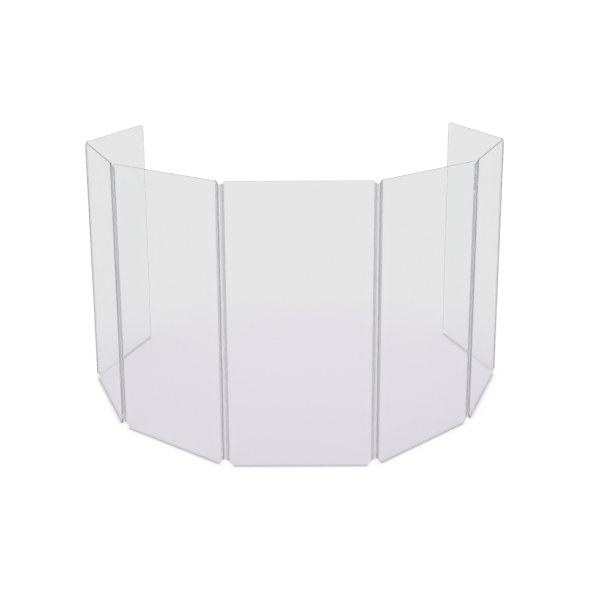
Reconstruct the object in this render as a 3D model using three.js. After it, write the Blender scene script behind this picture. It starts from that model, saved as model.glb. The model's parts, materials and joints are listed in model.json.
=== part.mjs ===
import * as THREE from "three";

// A drum shield: seven clear sheets stand on the floor in a bow, joined edge to edge by clear hinge strips.
// A strip is two channel grips, slipped over the edges of neighbouring sheets, and the flexible web between
// them, which folds along both of its edges, so that two panels fold flat on each other either way.
// Millimetres, +Z up. The origin is the middle of the centre panel's foot, and +Y is the player's side.

// Clear sheet of a panel
const PANEL_WIDTH = 609.6;
const PANEL_HEIGHT = 1219.2;
const SHEET_THICKNESS = 6;
const SHEET_EDGE_BREAK = 0.5;
const SHEET_CORNER_ROUND = 2;
const HINGED_FOOT_CLIP = 30;
const HINGED_HEAD_CLIP = 10;
const FREE_CORNER_CLIP = 14;

// Channel grip over a hinged edge
const GRIP_DEPTH = 12;
const GRIP_LEG = 1.5;
const GRIP_BACK = 2.4;
const GRIP_SHOULDER_ROUND = 1.3;
const GRIP_TIP_ROUND = 0.45;
const SLOT_CLEARANCE = 0.5;
const SLOT_END_CLEARANCE = 0.3;
const LEAD_IN = 0.7;
const RIB_COUNT = 3;
const RIB_WIDTH = 1;
const RIB_CLEARANCE = 0.2;

// Flexible web with a bead along each edge
const WEB_THICKNESS = 1;
const BEAD_RADIUS = 1.5;
const NECK_ROUND = 0.5;
const BEAD_CLEARANCE = 0.3;
const SWING_CLEARANCE = 0.3;
const FOLDED_GAP = 0.8;

// Where the strip starts and ends, beside the clipped corners of the sheets
const STRIP_FOOT_LAP = 2;
const STRIP_HEAD_GAP = 2;

// Folds of the photographed stance, in degrees from straight
const LEFT_FRONT_ANGLE = 38.5;
const LEFT_SIDE_ANGLE = 30;
const LEFT_REAR_ANGLE = 39.5;
const RIGHT_FRONT_ANGLE = 43;
const RIGHT_SIDE_ANGLE = 25.5;
const RIGHT_REAR_ANGLE = 38.5;

// Steps of each rounded corner, and of each bead and groove
const CORNER_STEPS = 4;
const BEAD_STEPS = 12;

// Places across a strip, measured from the line that the web folds on
const gripHalf = SHEET_THICKNESS / 2 + SLOT_CLEARANCE + GRIP_LEG;
const slotHalf = SHEET_THICKNESS / 2 + SLOT_CLEARANCE;
const ribHalf = SHEET_THICKNESS / 2 + RIB_CLEARANCE;
const backFace = WEB_THICKNESS / 2 + SWING_CLEARANCE;
const slotFloor = backFace + GRIP_BACK;
const mouth = backFace + GRIP_DEPTH;
const grooveRadius = BEAD_RADIUS + BEAD_CLEARANCE;
const sheetEdge = slotFloor + SLOT_END_CLEARANCE;

// Two folds this far apart leave the folded grips just clear of each other
const foldSpacing = 2 * gripHalf + FOLDED_GAP;

const stripFoot = HINGED_FOOT_CLIP - STRIP_FOOT_LAP;
const stripHead = PANEL_HEIGHT - HINGED_HEAD_CLIP - STRIP_HEAD_GAP;

// A closed outline through corners given as [x, y] or [x, y, radius]
function roundedShape(corners) {
  const shape = new THREE.Shape();
  corners.forEach(([x, y, radius = 0], i) => {
    const reach = i ? "lineTo" : "moveTo";
    if (!radius) {
      shape[reach](x, y);
      return;
    }
    const corner = new THREE.Vector2(x, y);
    const [back, ahead] = [corners.at(i - 1), corners[(i + 1) % corners.length]].map(([nearX, nearY]) =>
      new THREE.Vector2(nearX, nearY).sub(corner).normalize(),
    );
    const half = Math.acos(back.dot(ahead)) / 2;
    const start = corner.clone().addScaledVector(back, radius / Math.tan(half));
    const end = corner.clone().addScaledVector(ahead, radius / Math.tan(half));
    const middle = back.clone().add(ahead).normalize();
    const centre = corner.clone().addScaledVector(middle, radius / Math.sin(half));
    shape[reach](start.x, start.y);
    const from = start.clone().sub(centre).angle();
    const to = end.clone().sub(centre).angle();
    shape.absarc(centre.x, centre.y, radius, from, to, back.cross(ahead) > 0);
  });
  shape.closePath();
  return shape;
}

// Points of a circular arc about (centreX, 0)
function arcPoints(centreX, radius, from, to) {
  return Array.from({ length: BEAD_STEPS + 1 }, (_, i) => {
    const angle = from + ((to - from) * i) / BEAD_STEPS;
    return [centreX + radius * Math.cos(angle), radius * Math.sin(angle)];
  });
}

// One clear sheet, standing up from its foot, with x along it from its inner edge
function sheetGeometry(innerHinged, outerHinged) {
  const [innerFoot, outerFoot] = [innerHinged, outerHinged].map((hinged) =>
    hinged ? HINGED_FOOT_CLIP : FREE_CORNER_CLIP,
  );
  const [innerHead, outerHead] = [innerHinged, outerHinged].map((hinged) =>
    hinged ? HINGED_HEAD_CLIP : FREE_CORNER_CLIP,
  );
  const outline = roundedShape(
    [
      [innerFoot, 0],
      [PANEL_WIDTH - outerFoot, 0],
      [PANEL_WIDTH, outerFoot],
      [PANEL_WIDTH, PANEL_HEIGHT - outerHead],
      [PANEL_WIDTH - outerHead, PANEL_HEIGHT],
      [innerHead, PANEL_HEIGHT],
      [0, PANEL_HEIGHT - innerHead],
      [0, innerFoot],
    ].map(([x, y]) => [x, y, SHEET_CORNER_ROUND]),
  );
  const depth = SHEET_THICKNESS - 2 * SHEET_EDGE_BREAK;
  return new THREE.ExtrudeGeometry(outline, {
    depth,
    curveSegments: CORNER_STEPS,
    bevelThickness: SHEET_EDGE_BREAK,
    bevelSize: SHEET_EDGE_BREAK,
    bevelOffset: -SHEET_EDGE_BREAK,
    bevelSegments: 1,
  })
    .translate(0, 0, -depth / 2)
    .rotateX(Math.PI / 2);
}

// Extrudes a strip section over the strip's height
function stripGeometry(section) {
  return new THREE.ExtrudeGeometry(section, {
    depth: stripHead - stripFoot,
    curveSegments: CORNER_STEPS,
    bevelEnabled: false,
  }).translate(0, 0, stripFoot);
}

// The channel grip's section: its fold line at the origin, its mouth towards +x, barbed ribs in its slot
// and, in its back, the groove that the web's bead lies in
function gripSection() {
  const ribPitch = (mouth - LEAD_IN - slotFloor) / (RIB_COUNT + 1);
  const ribs = Array.from({ length: RIB_COUNT }, (_, i) => {
    const crest = mouth - LEAD_IN - (i + 1) * ribPitch;
    return [
      [crest + RIB_WIDTH, slotHalf],
      [crest, ribHalf],
      [crest, slotHalf],
    ];
  }).flat();
  const leg = [
    [backFace, gripHalf, GRIP_SHOULDER_ROUND],
    [mouth, gripHalf, GRIP_TIP_ROUND],
    [mouth, slotHalf + LEAD_IN],
    [mouth - LEAD_IN, slotHalf],
    ...ribs,
    [slotFloor, slotHalf],
  ];
  const otherLeg = leg.map(([x, y, radius]) => [x, -y, radius]).reverse();
  const grooveEnd = Math.acos(backFace / grooveRadius);
  return roundedShape([...arcPoints(0, grooveRadius, -grooveEnd, grooveEnd), ...leg, ...otherLeg]);
}

// The web's section: from the bead at the origin to the bead on the next fold line, with rounded necks
function webSection() {
  const neck = Math.asin(WEB_THICKNESS / 2 / BEAD_RADIUS);
  const beads = [
    arcPoints(0, BEAD_RADIUS, neck, 2 * Math.PI - neck),
    arcPoints(foldSpacing, BEAD_RADIUS, neck - Math.PI, Math.PI - neck),
  ];
  for (const bead of beads) {
    bead.at(0).push(NECK_ROUND);
    bead.at(-1).push(NECK_ROUND);
  }
  return roundedShape(beads.flat());
}

const sheetLook = { color: 0xe9ecec, roughness: 0.05, metalness: 0, transparent: true, opacity: 0.25 };
const gripLook = { color: 0xb7b8bf, roughness: 0.25, metalness: 0, transparent: true, opacity: 0.6 };
const webLook = { color: 0xd3d4da, roughness: 0.35, metalness: 0, transparent: true, opacity: 0.5 };

function namedMesh(name, geometry, look) {
  const mesh = new THREE.Mesh(geometry, new THREE.MeshStandardMaterial(look));
  mesh.name = name;
  return mesh;
}

// Hangs a hinge strip on the panel edge at edgeX of the parent, and returns the group that the next panel
// rides on, whose origin is the outer fold line
function addHinge(parent, name, edgeX, fold) {
  const innerFold = new THREE.Group();
  innerFold.position.x = edgeX + sheetEdge;
  const innerGrip = namedMesh(`${name}_inner_grip`, stripGeometry(gripSection()), gripLook);
  innerGrip.rotation.z = Math.PI;
  const webTurn = new THREE.Group();
  webTurn.rotation.z = fold / 2;
  const outerFold = new THREE.Group();
  outerFold.position.x = foldSpacing;
  outerFold.rotation.z = fold / 2;
  outerFold.add(namedMesh(`${name}_outer_grip`, stripGeometry(gripSection()), gripLook));
  webTurn.add(namedMesh(`${name}_web`, stripGeometry(webSection()), webLook), outerFold);
  innerFold.add(innerGrip, webTurn);
  parent.add(innerFold);
  return outerFold;
}

// One side of the shield, as a chain of three panels that starts at edgeX of the parent, with the angle that
// each of them is folded by
function addWing(parent, side, edgeX, angles) {
  let carrier = parent;
  let edge = edgeX;
  for (const [place, angle] of Object.entries(angles)) {
    const fold = THREE.MathUtils.degToRad(angle);
    carrier = addHinge(carrier, `${side}_${place}_hinge`, edge, fold);
    const panel = namedMesh(`${side}_${place}_panel`, sheetGeometry(true, place !== "rear"), sheetLook);
    panel.position.x = sheetEdge;
    carrier.add(panel);
    edge = sheetEdge + PANEL_WIDTH;
  }
}

const shield = new THREE.Group();
const centrePanel = namedMesh("centre_panel", sheetGeometry(true, true), sheetLook);
centrePanel.position.x = -PANEL_WIDTH / 2;
shield.add(centrePanel);

addWing(shield, "right", PANEL_WIDTH / 2, {
  front: RIGHT_FRONT_ANGLE,
  side: RIGHT_SIDE_ANGLE,
  rear: RIGHT_REAR_ANGLE,
});

// The left wing is built in a half-turned frame, where the same folds turn the other way
const leftFrame = new THREE.Group();
leftFrame.rotation.z = Math.PI;
shield.add(leftFrame);
addWing(leftFrame, "left", PANEL_WIDTH / 2, {
  front: -LEFT_FRONT_ANGLE,
  side: -LEFT_SIDE_ANGLE,
  rear: -LEFT_REAR_ANGLE,
});

export default shield;
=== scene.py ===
"""The looks of a clear drum shield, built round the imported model's fixed frame.

Seven clear sheets stand in a bow, joined edge to edge by clear hinge strips. Metres, +Z up, and +Y points
into the bow. A place in plan is a complex number, x + iy, so that multiplying by a unit number turns it.
"""

import json
from typing import NamedTuple

import bpy
import numpy as np
from mathutils import Matrix, Vector


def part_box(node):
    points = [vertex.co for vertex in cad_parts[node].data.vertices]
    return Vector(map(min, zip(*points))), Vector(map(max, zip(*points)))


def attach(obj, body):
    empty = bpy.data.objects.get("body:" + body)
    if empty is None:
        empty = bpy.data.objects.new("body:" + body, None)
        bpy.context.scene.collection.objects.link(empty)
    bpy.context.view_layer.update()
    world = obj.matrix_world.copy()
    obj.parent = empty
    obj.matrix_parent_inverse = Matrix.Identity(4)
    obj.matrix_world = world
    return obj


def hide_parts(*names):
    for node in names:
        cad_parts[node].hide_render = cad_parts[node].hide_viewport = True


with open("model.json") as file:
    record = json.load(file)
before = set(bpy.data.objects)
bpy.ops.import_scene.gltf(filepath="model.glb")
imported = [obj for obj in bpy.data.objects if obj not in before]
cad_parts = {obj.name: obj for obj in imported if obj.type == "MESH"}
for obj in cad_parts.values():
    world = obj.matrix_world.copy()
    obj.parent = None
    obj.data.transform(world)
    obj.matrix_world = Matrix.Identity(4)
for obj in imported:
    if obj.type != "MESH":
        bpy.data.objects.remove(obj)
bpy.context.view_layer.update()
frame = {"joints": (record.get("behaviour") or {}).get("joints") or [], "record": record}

# Clear sheets
# Each panel is one sheet of cast acrylic, sawn to a rectangle with clipped corners. Its faces are as cast,
# under a film until it is sold. Its sawn edges are scraped to a slight round and lightly flame-polished,
# which leaves them satin. Their grey and the darker tint at the rim are painted shade, for the light that is
# lost inside the sheet at its edges.
EDGE_ROUND = 0.0005
CORNER_ROUND = 0.002
FOOT_CLIP = 0.030
HEAD_CLIP = 0.010
FREE_CLIP = 0.014
EDGE_IN_STRIP = 0.0035
ARC_STEPS = 6
SOFT_TURN = np.radians(12)
SAME_POINT = 1e-9

foot_corner, head_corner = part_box("centre_panel")
SHEET_WIDTH = head_corner.x - foot_corner.x
SHEET_THICKNESS = head_corner.y - foot_corner.y
PANEL_HEIGHT = head_corner.z - foot_corner.z


def rounded_outline(corners, radii):
    """A closed outline through complex corners, counter-clockwise: points, normals and mitres.

    Each corner's arc turns about the point that lies its radius from both edges, from the normal of the
    edge before to that of the edge after. A corner without a radius is a point given twice, once for each
    normal, or once with the mean of the two where it turns so little that it is a step of a curve. A mitre
    is how far a point moves when both of its edges move by one.
    """
    corners, radii = np.asarray(corners), np.asarray(radii)
    edges = np.roll(corners, -1) - corners
    after = -1j * edges / np.abs(edges)
    before = np.roll(after, 1)
    turn = np.angle(after / before)
    mitre = (before + after) / (1 + np.cos(turn))
    signed = radii * np.sign(turn)
    share = np.linspace(0, 1, ARC_STEPS + 1)
    normals = before[:, None] * np.exp(1j * turn[:, None] * share)
    points = (corners - signed * mitre)[:, None] + signed[:, None] * normals
    mitres = np.where(radii[:, None] > 0, normals, mitre[:, None])
    sharp = radii == 0
    soft = sharp & (np.abs(turn) < SOFT_TURN)
    normals[soft] = (before * np.exp(0.5j * turn))[soft, None]
    kept = np.ones(points.shape, bool)
    kept[sharp, 1:-1] = False
    kept[soft, -1] = False
    return points[kept], normals[kept], mitres[kept]


def carried_shape(name, outline, low, high, arris, place):
    """A solid made by carrying an outline from depth low to depth high, its arrises rounded by arris.

    The path is two quarter turns, which draw the outline in by arris at each end. Both ends are closed by
    flat caps. place(points, depth) turns outline points and depths into x, y, z. Every corner of every face
    gets its exact normal. The UV map holds metres: the length round the outline and the depth along the
    sides, and the outline's own coordinates on the caps. The attribute "cap" is 1 on caps and 0 on sides.
    """
    points, normals, mitres = outline
    turn = np.linspace(0, np.pi / 2, ARC_STEPS + 1)
    outward = np.concatenate([np.sin(turn), np.cos(turn)])
    along = np.concatenate([-np.cos(turn), np.sin(turn)])
    inset = arris * (1 - outward)
    depth = np.concatenate([low + arris * (1 - np.cos(turn)), high - arris * (1 - np.sin(turn))])

    ring = points[None, :] - inset[:, None] * mitres[None, :]
    depths = np.broadcast_to(depth[:, None], ring.shape)
    new_point = np.abs(points - np.roll(points, 1)) > SAME_POINT
    corner_of = (np.cumsum(new_point) - 1) % new_point.sum()
    around = int(new_point.sum())
    rows = len(depth)
    vertices = place(ring[:, new_point].ravel(), depths[:, new_point].ravel())

    starts = np.flatnonzero(np.abs(np.roll(points, -1) - points) > SAME_POINT)
    ends = (starts + 1) % len(points)
    level = np.arange(rows - 1)[:, None]
    quad_rows = np.stack([level, level, level + 1, level + 1], -1) + np.zeros((1, len(starts), 1), int)
    quad_points = np.stack([starts, ends, ends, starts], -1)[None] + np.zeros((rows - 1, 1, 1), int)
    quads = (quad_rows * around + corner_of[quad_points]).reshape(-1, 4)
    low_cap = np.arange(around)[::-1]
    high_cap = (rows - 1) * around + np.arange(around)

    origin = place(np.zeros(1, complex), np.zeros(1))[0]
    turned = place(normals[quad_points].ravel(), np.zeros(quad_points.size)) - origin
    axis = place(np.zeros(1, complex), np.ones(1))[0] - origin
    side_normals = turned * outward[quad_rows].reshape(-1, 1) + axis * along[quad_rows].reshape(-1, 1)
    cap_normals = [np.tile(sign * axis, (around, 1)) for sign in (-1, 1)]

    length = np.concatenate([[0], np.cumsum(np.abs(np.diff(points)))])
    total = length[-1] + abs(points[0] - points[-1])
    quad_u = length[quad_points]
    quad_u[:, -1, 1:3] = np.where(quad_u[:, -1, 1:3] == 0, total, quad_u[:, -1, 1:3])
    side_uv = np.stack([quad_u.ravel(), depth[quad_rows].ravel()], -1)
    flat = points[new_point]
    cap_uv = np.stack([flat.real, flat.imag], -1)

    mesh = bpy.data.meshes.new(name)
    mesh.from_pydata(vertices, [], [*quads.tolist(), low_cap.tolist(), high_cap.tolist()])
    mesh.attributes.new("cap", "FLOAT", "POINT").data.foreach_set("value", np.abs(np.repeat(along, around)))
    mesh.uv_layers.new(name="metres").data.foreach_set(
        "uv", np.concatenate([side_uv, cap_uv[::-1], cap_uv]).ravel()
    )
    mesh.shade_smooth()
    mesh.normals_split_custom_set(np.concatenate([side_normals, *cap_normals]).tolist())
    piece = bpy.data.objects.new(name, mesh)
    bpy.context.scene.collection.objects.link(piece)
    return piece


class Value:
    """A shader socket's output. Sums and products of it with numbers or other values add Math nodes."""

    def __init__(self, shader, socket):
        self.shader = shader
        self.socket = socket

    def math(self, operation, *values):
        return self.shader.node("ShaderNodeMath", {"operation": operation}, dict(enumerate(values)))

    def __add__(self, other):
        return self.math("ADD", self, other)

    __radd__ = __add__

    def __mul__(self, other):
        return self.math("MULTIPLY", self, other)

    __rmul__ = __mul__

    def __rsub__(self, other):
        return self.math("SUBTRACT", other, self)


class Shader:
    """The node tree of a material, a lamp's or the world's."""

    def __init__(self, owner):
        owner.use_nodes = True
        self.tree = owner.node_tree
        self.tree.nodes.clear()

    def node(self, kind, settings=None, inputs=None, output=0):
        """Adds a node: first its settings, or a ramp's stops, then the values or links of its sockets."""
        made = self.tree.nodes.new(kind)
        for setting, value in (settings or {}).items():
            if setting == "stops":
                for element, (position, shade) in zip(made.color_ramp.elements, value):
                    element.position = position
                    element.color = (shade, shade, shade, 1)
            else:
                setattr(made, setting, value)
        for name, value in (inputs or {}).items():
            if isinstance(value, Value):
                self.tree.links.new(value.socket, made.inputs[name])
            else:
                made.inputs[name].default_value = value
        return Value(self, made.outputs[output]) if made.outputs else None

    def noise(self, vector, scale, detail):
        return self.node("ShaderNodeTexNoise", None, {"Vector": vector, "Scale": scale, "Detail": detail})

    def stretched(self, vector, scale):
        """The vector with each of its parts multiplied by its own scale."""
        return self.node("ShaderNodeVectorMath", {"operation": "MULTIPLY"}, {0: vector, 1: scale})

    def ramp(self, value, low, high):
        """0 up to the value low, 1 from the value high, and straight in between."""
        return self.node("ShaderNodeValToRGB", {"stops": ((low, 0), (high, 1))}, {0: value})

    def mixed_colour(self, factor, first, second):
        """A blend of two colours, which a Mix node takes on sockets 6 and 7 and gives on its output 2."""
        return self.node(
            "ShaderNodeMix", {"data_type": "RGBA"}, {0: factor, 6: (*first, 1), 7: (*second, 1)}, output=2
        )

    def mixed_shader(self, factor, first, second):
        return self.node("ShaderNodeMixShader", None, {0: factor, 1: first, 2: second})

    def see_through(self, plastic, tint):
        """Where the eye sees plastic, lamplight and the light between pieces pass straight, tinted."""
        path = "ShaderNodeLightPath"
        clear = self.node("ShaderNodeBsdfTransparent", None, {"Color": (*tint, 1)})
        lit = self.mixed_shader(self.node(path, output="Is Diffuse Ray"), plastic, clear)
        return self.mixed_shader(self.node(path, output="Is Shadow Ray"), lit, clear)


ACRYLIC_IOR = 1.49
ACRYLIC_PASSES = (0.965, 0.965, 0.97)
DEPTH_COLOUR = (0.6, 0.62, 0.66, 1)
DEPTH_DENSITY = 2.5
CAST_TINT = (0.985, 0.988, 0.988)
CAST_WAVES_PER_METRE = 4
CAST_WAVE_HEIGHT = 0.00005
SMUDGES_PER_METRE = 6
SMUDGE_STARTS = 0.52
SMUDGE_IS_FULL = 0.75
SMUDGE_ROUGHNESS = 0.02
HAIRLINES_PER_METRE = (40, 40, 900)
HAIRLINE_STARTS = 0.70
HAIRLINE_IS_FULL = 0.74
HAIRLINE_ROUGHNESS = 0.03
# The rim's darker tint and the scraped edges' grey are painted shade for light lost inside the sheet.
RIM_PAINTED_SHADE_TINT = (0.80, 0.80, 0.825)
RIM_ROUGHNESS = 0.12
SAW_MARKS_PER_METRE = 900
SAW_MARK_HEIGHT_SHARE = 0.6
SCRAPED_EDGE_PAINTED_SHADE = (0.36, 0.36, 0.38, 1)
SCRAPED_ROUGHNESS = 0.3
SCRAPED_AND_SHADE_LEAST_SHARE = 0.25
SCRAPED_AND_SHADE_SAWN_SHARE = 0.5


def acrylic():
    """Cast acrylic: clear, with faint cast waves, smudges and hairlines, and satin edges in painted shade.
    """
    material = bpy.data.materials.new("clear cast acrylic")
    shader = Shader(material)
    place = shader.node("ShaderNodeTexCoord", output="Object")
    rim = 1 - shader.node("ShaderNodeAttribute", {"attribute_name": "cap"}, output="Fac")
    patches = shader.noise(place, SMUDGES_PER_METRE, detail=5)
    smudge = shader.ramp(patches, SMUDGE_STARTS, SMUDGE_IS_FULL)
    lines = shader.noise(shader.stretched(place, HAIRLINES_PER_METRE), 1, detail=1)
    hairline = shader.ramp(lines, HAIRLINE_STARTS, HAIRLINE_IS_FULL)
    saw_mark = shader.noise(place, SAW_MARKS_PER_METRE, detail=1)
    waves = shader.noise(place, CAST_WAVES_PER_METRE, detail=0)
    relief = waves + rim * saw_mark * SAW_MARK_HEIGHT_SHARE
    bump = shader.node("ShaderNodeBump", None, {"Distance": CAST_WAVE_HEIGHT, "Height": relief})
    # At the rim the plastic's base colour darkens to a painted shade tint.
    plastic = shader.node(
        "ShaderNodeBsdfPrincipled",
        None,
        {
            "Base Color": shader.mixed_colour(rim, CAST_TINT, RIM_PAINTED_SHADE_TINT),
            "Roughness": smudge * SMUDGE_ROUGHNESS + hairline * HAIRLINE_ROUGHNESS + rim * RIM_ROUGHNESS,
            "IOR": ACRYLIC_IOR,
            "Transmission Weight": 1.0,
            "Normal": bump,
        },
    )
    # The scraped edges' satin roughness is real; their grey is painted shade.
    scraped_and_painted_shade = shader.node(
        "ShaderNodeBsdfPrincipled",
        None,
        {"Base Color": SCRAPED_EDGE_PAINTED_SHADE, "Roughness": SCRAPED_ROUGHNESS, "Normal": bump},
    )
    # How much of the painted shade grey covers the rim, more of it along the saw marks.
    scraped_and_shade_share = rim * (SCRAPED_AND_SHADE_LEAST_SHARE + saw_mark * SCRAPED_AND_SHADE_SAWN_SHARE)
    edged = shader.mixed_shader(scraped_and_shade_share, plastic, scraped_and_painted_shade)
    surface = shader.see_through(edged, ACRYLIC_PASSES)
    depth = shader.node(
        "ShaderNodeVolumeAbsorption", None, {"Color": DEPTH_COLOUR, "Density": DEPTH_DENSITY}
    )
    shader.node("ShaderNodeOutputMaterial", None, {"Surface": surface, "Volume": depth})
    return material


def panel_outline(width, inner_clips, outer_clips):
    """A sheet's rectangle with its corners clipped at 45 degrees, x along the panel and the height as iz."""
    (inner_foot, inner_head), (outer_foot, outer_head) = inner_clips, outer_clips
    corners = np.array(
        [
            inner_foot,
            width - outer_foot,
            width + 1j * outer_foot,
            width + 1j * (PANEL_HEIGHT - outer_head),
            width - outer_head + 1j * PANEL_HEIGHT,
            inner_head + 1j * PANEL_HEIGHT,
            1j * (PANEL_HEIGHT - inner_head),
            1j * inner_foot,
        ]
    )
    return rounded_outline(corners, np.full(len(corners), CORNER_ROUND))


def unit(number):
    """The number over its own size, so that it turns what it multiplies and doesn't stretch it."""
    return number / abs(number)


class Strip(NamedTuple):
    """A hinge strip in plan: its fold lines, and the unit numbers that lead from them along both sheets.

    It is named after the sheet on its outer side.
    """

    name: str
    inner_line: complex
    outer_line: complex
    inward: complex
    outward: complex
    inner_sheet: str


fold_line = {joint["name"]: complex(*joint["pos_m"][:2]) for joint in frame["joints"]}
free_edge = {
    mount["name"].removesuffix("_free_edge"): complex(*mount["pos_m"][:2])
    for mount in frame["record"]["mounts"]
    if mount["name"].endswith("_free_edge")
}
across = unit(fold_line["right_front_fold_inner"] - fold_line["left_front_fold_inner"])


def wing_strips(side, inward):
    """The three strips of a wing, from the centre sheet out. Each sheet ends at the next strip's line."""
    lines = [
        (fold_line[f"{side}_{place}_fold_inner"], fold_line[f"{side}_{place}_fold_outer"])
        for place in ("front", "side", "rear")
    ]
    sheet_ends = [lines[1][0], lines[2][0], free_edge[side]]
    inner_sheet = "centre"
    for place, (inner_line, outer_line), end in zip(("front", "side", "rear"), lines, sheet_ends):
        outward = unit(end - outer_line)
        yield Strip(f"{side}_{place}", inner_line, outer_line, inward, outward, inner_sheet)
        inner_sheet, inward = f"{side}_{place}", -outward


strips = [*wing_strips("left", across), *wing_strips("right", -across)]
hinged_clips = (FOOT_CLIP, HEAD_CLIP)
free_clips = (FREE_CLIP, FREE_CLIP)
acrylic_material = acrylic()


def add_sheet(name, line, direction, outer_clips):
    """A sheet standing on the floor, which in plan runs from a fold line along the unit direction.

    The outline's x runs along the sheet from its edge in the strip, its y is the height, and the depth goes
    through the sheet's thickness.
    """
    start = line + direction * EDGE_IN_STRIP

    def place(points, depth):
        plan = start + direction * (points.real - 1j * depth)
        return np.stack([plan.real, plan.imag, points.imag], -1)

    outline = panel_outline(SHEET_WIDTH, hinged_clips, outer_clips)
    half = SHEET_THICKNESS / 2
    sheet = carried_shape(f"{name}_sheet", outline, -half, half, EDGE_ROUND, place)
    sheet.data.materials.append(acrylic_material)
    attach(sheet, name)
    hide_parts(f"{name}_panel")


add_sheet("centre", fold_line["left_front_fold_inner"], across, hinged_clips)
for strip in strips:
    clips = free_clips if strip.name.endswith("rear") else hinged_clips
    add_sheet(strip.name, strip.outer_line, strip.outward, clips)

# Channel grips
# The two rigid halves of a hinge strip, each a channel extruded in clear plastic and sawn to length. A grip
# is slipped over a sheet's edge, and the spring of its legs and the barbs inside them hold it there.
GRIP_DEPTH = 0.012
GRIP_LEG = 0.0015
GRIP_BACK = 0.0024
SHOULDER_ROUND = 0.0013
TIP_ROUND = 0.00045
SLOT_CLEARANCE = 0.0005
LEAD_IN = 0.0007
BARB_COUNT = 3
BARB_WIDTH = 0.001
BARB_CLEARANCE = 0.0002
BACK_FACE = 0.0008
GROOVE_RADIUS = 0.0018
GROOVE_STEPS = 32
SAWN_ARRIS = 0.0002


def arc_of_corners(centre, radius, first, last):
    """Points of a circle's arc about the complex centre, as corners of an outline."""
    return centre + radius * np.exp(1j * np.linspace(first, last, GROOVE_STEPS + 1))


def grip_outline():
    """A channel open towards +x, with barbs in its slot, and a round groove in its back about the origin."""
    slot_half = SHEET_THICKNESS / 2 + SLOT_CLEARANCE
    barb_half = SHEET_THICKNESS / 2 + BARB_CLEARANCE
    grip_half = slot_half + GRIP_LEG
    slot_floor = BACK_FACE + GRIP_BACK
    mouth = BACK_FACE + GRIP_DEPTH
    spacing = (mouth - LEAD_IN - slot_floor) / (BARB_COUNT + 1)
    crests = mouth - LEAD_IN - spacing * np.arange(1, BARB_COUNT + 1)
    barbs = np.stack(
        [crests + BARB_WIDTH + 1j * slot_half, crests + 1j * barb_half, crests + 1j * slot_half], -1
    )
    leg = np.concatenate(
        [
            [BACK_FACE + 1j * grip_half, mouth + 1j * grip_half],
            [mouth + 1j * (slot_half + LEAD_IN), mouth - LEAD_IN + 1j * slot_half],
            barbs.ravel(),
            [slot_floor + 1j * slot_half],
        ]
    )
    leg_radii = np.zeros(len(leg))
    leg_radii[:2] = SHOULDER_ROUND, TIP_ROUND
    opening = np.arccos(BACK_FACE / GROOVE_RADIUS)
    groove = arc_of_corners(0, GROOVE_RADIUS, -opening, opening)
    corners = np.concatenate([groove, leg, leg[::-1].conj()])
    radii = np.concatenate([np.zeros(len(groove)), leg_radii, leg_radii[::-1]])
    return rounded_outline(corners[::-1], radii[::-1])


GRIP_TINT = (0.825, 0.825, 0.835)
GRIP_HAZY_TINT = (0.765, 0.765, 0.78)
GRIP_ROUGHNESS = 0.10
GRIP_MILKINESS = 0.35
VINYL_IOR = 1.5
VINYL_PASSES = (0.93, 0.93, 0.94)
DIE_LINES_PER_METRE = (2500, 3, 1)
DIE_LINE_HEIGHT = 0.00004
HAZE_PER_METRE = 9
HAZE_ROUGHNESS = 0.06
SAWN_ROUGHNESS = 0.3


def extruded_vinyl(name, tint, hazy_tint, roughness, milkiness):
    """Clear extruded vinyl: die lines along its length, a slight haze that varies, and matt sawn ends.

    Milkiness is the share of the light that its body scatters back instead of letting it through.
    """
    material = bpy.data.materials.new(name)
    shader = Shader(material)
    place = shader.node("ShaderNodeTexCoord", output="Object")
    surface_place = shader.node("ShaderNodeTexCoord", output="UV")
    sawn = shader.node("ShaderNodeAttribute", {"attribute_name": "cap"}, output="Fac")
    die_lines = shader.noise(shader.stretched(surface_place, DIE_LINES_PER_METRE), 1, detail=0)
    haze = shader.noise(place, HAZE_PER_METRE, detail=4)
    relief = die_lines * (1 - sawn)
    bump = shader.node("ShaderNodeBump", None, {"Distance": DIE_LINE_HEIGHT, "Height": relief})
    plastic = shader.node(
        "ShaderNodeBsdfPrincipled",
        None,
        {
            "Base Color": shader.mixed_colour(haze, tint, hazy_tint),
            "Roughness": roughness + haze * HAZE_ROUGHNESS + sawn * SAWN_ROUGHNESS,
            "IOR": VINYL_IOR,
            "Transmission Weight": 1 - milkiness,
            "Normal": bump,
        },
    )
    surface = shader.see_through(plastic, VINYL_PASSES)
    shader.node("ShaderNodeOutputMaterial", None, {"Surface": surface})
    return material


strip_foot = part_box("left_front_hinge_web")[0].z
strip_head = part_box("left_front_hinge_web")[1].z


def add_strip_piece(name, outline, start, direction, node, body, material):
    """A length of extrusion from the strip's foot to its head, with its outline's x along the direction."""

    def place(points, depth):
        plan = start + direction * points
        return np.stack([plan.real, plan.imag, depth], -1)

    piece = carried_shape(name, outline, strip_foot, strip_head, SAWN_ARRIS, place)
    piece.data.materials.append(material)
    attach(piece, body)
    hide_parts(node)


grip_material = extruded_vinyl(
    "clear rigid extrusion", GRIP_TINT, GRIP_HAZY_TINT, GRIP_ROUGHNESS, GRIP_MILKINESS
)
for strip in strips:
    for end, line, direction, sheet in (
        ("inner", strip.inner_line, strip.inward, strip.inner_sheet),
        ("outer", strip.outer_line, strip.outward, strip.name),
    ):
        add_strip_piece(
            f"{strip.name}_hinge_{end}_channel",
            grip_outline(),
            line,
            direction,
            f"{strip.name}_hinge_{end}_grip",
            sheet,
            grip_material,
        )

# Flexible webs
# The soft middle of a hinge strip, a thin clear band with a round bead along each edge. It folds along both
# beads, which lie in the grooves of the grips.
WEB_THICKNESS = 0.001
BEAD_RADIUS = 0.0015
NECK_ROUND = 0.0005
WEB_TINT = (0.93, 0.93, 0.935)
WEB_HAZY_TINT = (0.89, 0.89, 0.90)
WEB_ROUGHNESS = 0.12
WEB_MILKINESS = 0.20


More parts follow.
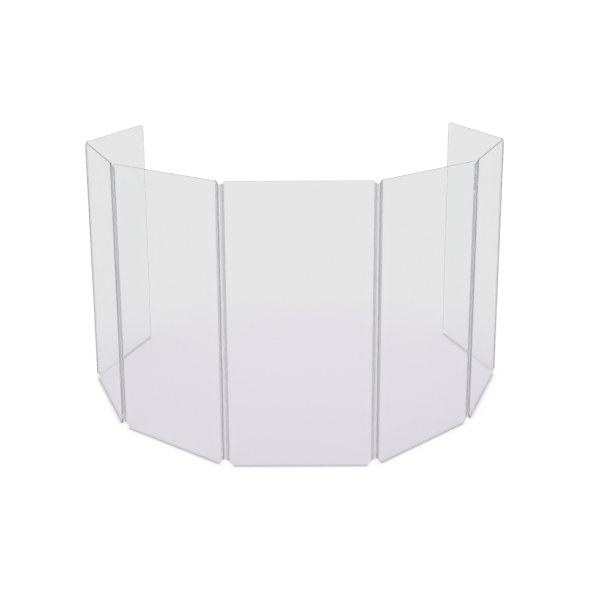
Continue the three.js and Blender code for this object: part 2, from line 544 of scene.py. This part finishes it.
def web_outline(spacing):
    """A thin band with a round bead about the origin and another about x = spacing.

    Each side of the band runs into a bead by a hollow round. Its centre lies the two radii from the bead's
    centre and its own radius off the band. The far side is the near one mirrored.
    """
    hollow_height = WEB_THICKNESS / 2 + NECK_ROUND
    neck = np.arcsin(hollow_height / (BEAD_RADIUS + NECK_ROUND))
    hollow = (BEAD_RADIUS + NECK_ROUND) * np.cos(neck) - 1j * hollow_height
    first_half = np.concatenate(
        [
            arc_of_corners(0, BEAD_RADIUS, np.pi, 2 * np.pi - neck),
            arc_of_corners(hollow, NECK_ROUND, np.pi - neck, np.pi / 2)[1:],
        ]
    )
    near_side = np.concatenate([first_half, spacing - first_half[::-1].conj()])
    corners = np.concatenate([near_side, near_side[-2:0:-1].conj()])
    return rounded_outline(corners, np.zeros(len(corners)))


web_material = extruded_vinyl(
    "clear soft extrusion", WEB_TINT, WEB_HAZY_TINT, WEB_ROUGHNESS, WEB_MILKINESS
)
for strip in strips:
    across_strip = strip.outer_line - strip.inner_line
    add_strip_piece(
        f"{strip.name}_hinge_soft_web",
        web_outline(abs(across_strip)),
        strip.inner_line,
        unit(across_strip),
        f"{strip.name}_hinge_web",
        f"{strip.name}_web",
        web_material,
    )

# Floor, lamps and surroundings
# A pale grey sweep under soft light. The eye sees it as white round the shield, and in its own grey through
# the clear plastic, where the strips and edges still draw their soft shadows. Inside the bow it is painted a
# little darker and more violet, as painted shade.
FLOOR_SIZE = 300
SWEEP_GREY = (0.80, 0.80, 0.80)
# Painted shade: inside the bow the floor is painted a little darker and more violet, fading out further off.
PAINTED_SHADE_VIOLET = (0.787, 0.768, 0.812)
BOW_CENTRE = (0, 0.8, 0)
PAINTED_SHADE_IS_FULL = 0.9
PAINTED_SHADE_ENDS = 1.7
CONTACT_REACH = 0.020
CONTACT_SHADE = 0.5
CONTACT_RAYS = 8
WHITENING = 0.262
SKY_LIGHT = 0.68
SKY_SHADE = 0.79


def sweep():
    """Plain pale floor: diffuse grey, with enough glow added for camera rays alone to make it white.

    Inside the bow it is painted a little darker and more violet, as painted shade. It is darker by the foot
    edges, where ambient occlusion stands for the light that the edges of the sheets turn aside.
    """
    material = bpy.data.materials.new("pale sweep")
    shader = Shader(material)
    place = shader.node("ShaderNodeTexCoord", output="Object")
    away = shader.node(
        "ShaderNodeVectorMath", {"operation": "DISTANCE"}, {0: place, 1: BOW_CENTRE}, output="Value"
    )
    # Painted shade: the share of the darker violet, full near the middle of the bow.
    in_painted_shade = shader.node(
        "ShaderNodeMapRange",
        {"interpolation_type": "SMOOTHSTEP"},
        {"Value": away, "From Min": PAINTED_SHADE_IS_FULL, "From Max": PAINTED_SHADE_ENDS, "To Min": 1.0, "To Max": 0.0},
    )
    paper_and_painted_shade = shader.mixed_colour(in_painted_shade, SWEEP_GREY, PAINTED_SHADE_VIOLET)
    open_share = shader.node(
        "ShaderNodeAmbientOcclusion", {"samples": CONTACT_RAYS}, {"Distance": CONTACT_REACH}, output="AO"
    )
    light_left = 1 - CONTACT_SHADE * (1 - open_share)
    shaded = shader.node(
        "ShaderNodeVectorMath", {"operation": "SCALE"}, {0: paper_and_painted_shade, "Scale": light_left}
    )
    paper = shader.node("ShaderNodeBsdfDiffuse", None, {"Color": shaded})
    eye = shader.node("ShaderNodeLightPath", output="Is Camera Ray")
    glow = shader.node("ShaderNodeEmission", None, {"Strength": eye * light_left * WHITENING})
    both = shader.node("ShaderNodeAddShader", None, {0: paper, 1: glow})
    shader.node("ShaderNodeOutputMaterial", None, {"Surface": both})
    return material


reach = FLOOR_SIZE / 2
floor_corners = [(-reach, -reach, 0), (reach, -reach, 0), (reach, reach, 0), (-reach, reach, 0)]
floor_mesh = bpy.data.meshes.new("floor")
floor_mesh.from_pydata(floor_corners, [], [(0, 1, 2, 3)])
floor = bpy.data.objects.new("floor", floor_mesh)
bpy.context.scene.collection.objects.link(floor)
floor_mesh.materials.append(sweep())

world = bpy.data.worlds.new("pale surroundings")
bpy.context.scene.world = world
sky = Shader(world)


def sky_level(strength):
    return sky.node("ShaderNodeBackground", None, {"Color": (1, 1, 1, 1), "Strength": strength})


def where_ray(kind, there, elsewhere):
    return sky.mixed_shader(sky.node("ShaderNodeLightPath", output=kind), elsewhere, there)


seen_in_plastic = where_ray("Is Transmission Ray", sky_level(SKY_SHADE), sky_level(SKY_LIGHT))
seen_in_plastic = where_ray("Is Glossy Ray", sky_level(SKY_SHADE), seen_in_plastic)
seen = where_ray("Is Camera Ray", sky_level(1.0), seen_in_plastic)
sky.node("ShaderNodeOutputWorld", None, {"Surface": seen})


def add_lamp(name, heading, height, spread, strength):
    """A distant soft lamp, so that the whole sweep is lit alike.

    In degrees, heading is the side that it stands on in plan, from +X, height its angle above the floor, and
    spread the angle that it fills, which softens its shadows.
    """
    lamp = bpy.data.lights.new(name, "SUN")
    lamp.angle = np.radians(spread)
    lamp.energy = strength
    lamp_object = bpy.data.objects.new(name, lamp)
    turn, rise = np.radians([heading, height])
    towards = Vector((np.cos(turn) * np.cos(rise), np.sin(turn) * np.cos(rise), np.sin(rise)))
    lamp_object.rotation_mode = "QUATERNION"
    lamp_object.rotation_quaternion = towards.to_track_quat("Z", "Y")
    bpy.context.scene.collection.objects.link(lamp_object)


add_lamp("key", heading=235, height=60, spread=25, strength=0.75)
add_lamp("fill", heading=20, height=55, spread=40, strength=0.45)

# Folded flat, the shield is a stack of seven sheets between the legs of their grips, and light has to get
# through up to six faces in every layer. Fewer would leave the stack dark inside.
FACES_THROUGH = 48
light_paths = bpy.context.scene.cycles
light_paths.max_bounces = FACES_THROUGH
light_paths.transmission_bounces = FACES_THROUGH
light_paths.transparent_max_bounces = FACES_THROUGH

# Camera
# It stands a little above the shield's head, square to the centre panel, and looks down on the floor inside.
# The lens is slid down a little, as the photograph's converging sides show.
CAMERA_PLACE = (-0.008, -3.861, 2.000)
CAMERA_PITCH = 13.25
CAMERA_YAW = -0.13
CAMERA_ROLL = -0.30
SENSOR_WIDTH = 36
LENS = 61.26
LENS_SLIDE = -0.14
camera_data = bpy.data.cameras.new("camera")
camera_data.sensor_width = SENSOR_WIDTH
camera_data.lens = LENS
camera_data.shift_y = LENS_SLIDE
camera = bpy.data.objects.new("camera", camera_data)
bpy.context.scene.collection.objects.link(camera)
pitch, yaw, roll = np.radians([CAMERA_PITCH, CAMERA_YAW, CAMERA_ROLL])
camera.matrix_world = (
    Matrix.Translation(CAMERA_PLACE)
    @ Matrix.Rotation(-yaw, 4, "Z")
    @ Matrix.Rotation(np.pi / 2 - pitch, 4, "X")
    @ Matrix.Rotation(roll, 4, "Z")
)
bpy.context.scene.camera = camera
bpy.context.scene.view_settings.view_transform = "Standard"
